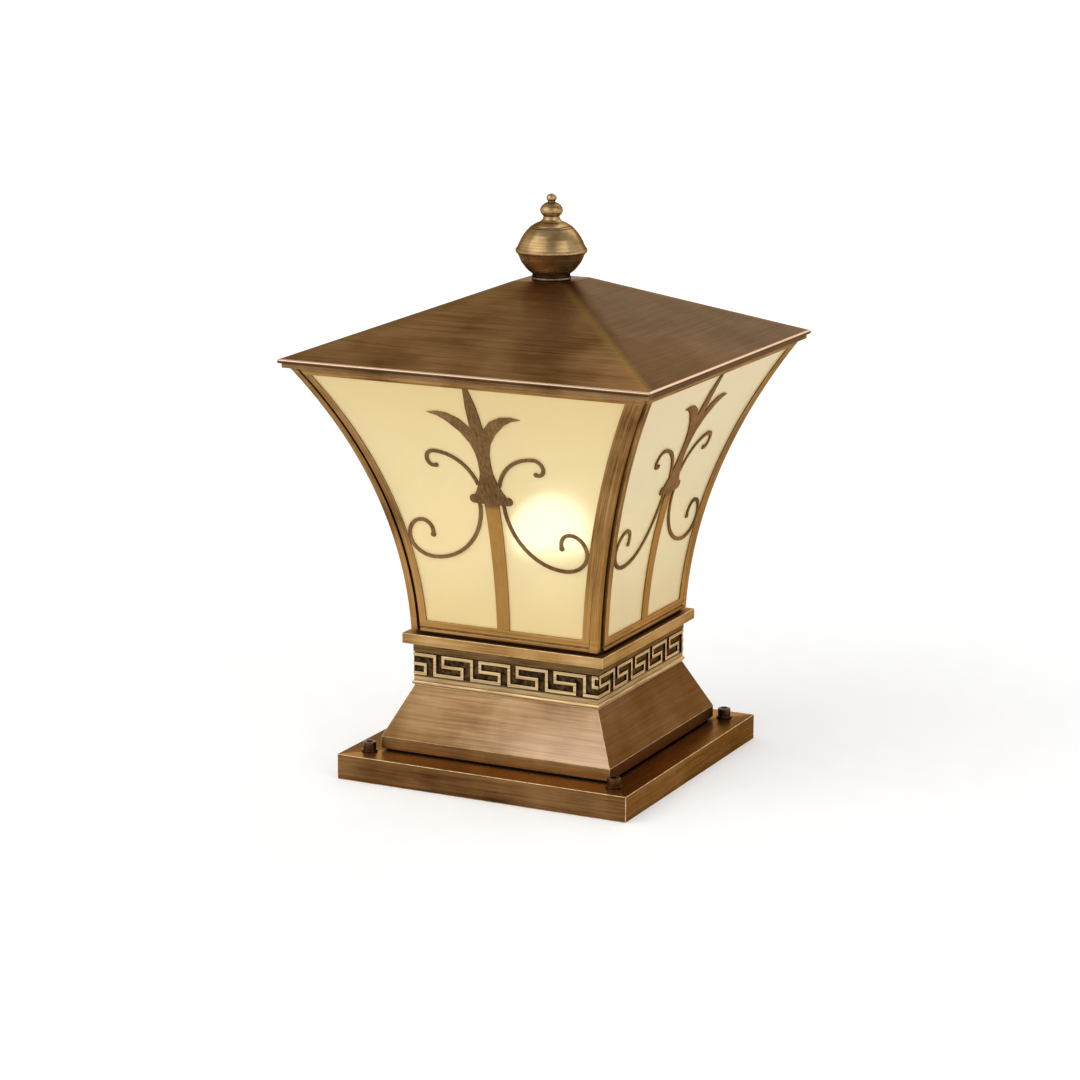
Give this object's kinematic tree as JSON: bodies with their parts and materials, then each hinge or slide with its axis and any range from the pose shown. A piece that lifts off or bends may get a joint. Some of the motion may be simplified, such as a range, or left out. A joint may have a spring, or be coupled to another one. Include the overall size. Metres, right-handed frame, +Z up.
{
  "type": "pillar light",
  "caption": "Square pillar-top lantern with curved glass sides, scroll ornaments, a pyramid roof with a turned finial and a stepped pedestal on a screw-down base plate.",
  "frame": {"origin": "middle of the base plate's underside, on the surface that the light stands on", "axes": "+Z up through the finial, -Y out of the front side, +X out of the right side"},
  "size_m": [0.3, 0.3, 0.437],
  "materials": {
    "copper_sheet": "antique brushed copper, worn light at the edges",
    "copper_frame": "antique brushed copper, streaked along its length",
    "frieze_relief": "antique copper, rubbed bright on the raised bars",
    "ornament_bronze": "dark antique bronze",
    "finial_brass": "antique brass, rubbed bright",
    "dark_ring": "matt black",
    "rubber": "matt black rubber",
    "fixing_steel": "zinc plated",
    "dark_screws": "blackened steel",
    "opal_glass": "frosted cream glass",
    "porcelain": "white glaze",
    "contact_brass": "plain brass",
    "cap_metal": "satin",
    "bulb_glass": "opal glass",
    "terminal_plastic": "cream plastic",
    "wire_brown": "brown insulation",
    "wire_blue": "blue insulation",
    "wire_green": "green and yellow insulation"
  },
  "bodies": {
    "pillar": {"base_plate": "copper_sheet", "skirt": "copper_sheet", "frieze_core": "copper_sheet", "collar": "copper_sheet", "top_ring": "copper_sheet", "corner_post_1": "copper_frame", "corner_post_2": "copper_frame", "corner_post_3": "copper_frame", "corner_post_4": "copper_frame", "panel_frame_front": "copper_frame", "panel_frame_right": "copper_frame", "panel_frame_back": "copper_frame", "panel_frame_left": "copper_frame", "frieze_strip_front": "frieze_relief", "frieze_strip_right": "frieze_relief", "frieze_strip_back": "frieze_relief", "frieze_strip_left": "frieze_relief", "ornament_front": "ornament_bronze", "ornament_right": "ornament_bronze", "ornament_back": "ornament_bronze", "ornament_left": "ornament_bronze", "lantern_ring": "dark_ring", "base_gasket": "rubber", "cable_grommet": "rubber", "tie_rods": "fixing_steel", "tie_nuts": "fixing_steel", "crossbar": "fixing_steel", "crossbar_screws": "fixing_steel", "top_ring_screws": "fixing_steel", "roof_stud": "fixing_steel", "stud_nuts": "fixing_steel", "glass_clips": "fixing_steel", "lampholder_bracket": "fixing_steel", "bracket_screws": "fixing_steel", "mounting_screws": "dark_screws", "screw_washers": "dark_screws", "glass_front": "opal_glass", "glass_right": "opal_glass", "glass_back": "opal_glass", "glass_left": "opal_glass", "lampholder": "porcelain", "lampholder_shell": "contact_brass", "lampholder_contact": "contact_brass", "earth_screw": "contact_brass", "terminal_block": "terminal_plastic", "wire_live": "wire_brown", "wire_neutral": "wire_blue", "wire_earth": "wire_green"},
    "roof": {"roof": "copper_sheet", "roof_seat": "fixing_steel"},
    "finial_carrier": {"finial_washer": "rubber"},
    "finial": {"finial_spindle": "finial_brass", "finial_neck": "finial_brass", "finial_bowl": "finial_brass", "finial_band": "finial_brass", "finial_dome": "finial_brass", "finial_knob": "finial_brass"},
    "bulb_carrier": {"bulb_contact": "cap_metal"},
    "bulb": {"bulb_cap": "cap_metal", "bulb_envelope": "bulb_glass"}
  },
  "joints": [
    {"name": "roof_lift", "type": "slide", "parent": "pillar", "child": "roof", "axis": [0, 0, 1], "range_m": [0, 0.12]},
    {"name": "finial_rise", "type": "slide", "parent": "roof", "child": "finial_carrier", "axis": [0, 0, 1], "range_m": [0, 0.0176]},
    {"name": "finial_turn", "type": "hinge", "parent": "finial_carrier", "child": "finial", "pos_m": [0, 0, 0.38], "axis": [0, 0, 1], "range_deg": [0, 5040]},
    {"name": "bulb_rise", "type": "slide", "parent": "pillar", "child": "bulb_carrier", "axis": [0, 0, 1], "range_m": [0, 0.0218]},
    {"name": "bulb_turn", "type": "hinge", "parent": "bulb_carrier", "child": "bulb", "pos_m": [0, 0, 0.12], "axis": [0, 0, 1], "range_deg": [0, 2160]}
  ],
  "couplings": [
    {"joint": "finial_rise", "follows": "finial_turn", "m_per_rad": 0.00019894},
    {"joint": "bulb_rise", "follows": "bulb_turn", "m_per_rad": 0.0005775}
  ]
}
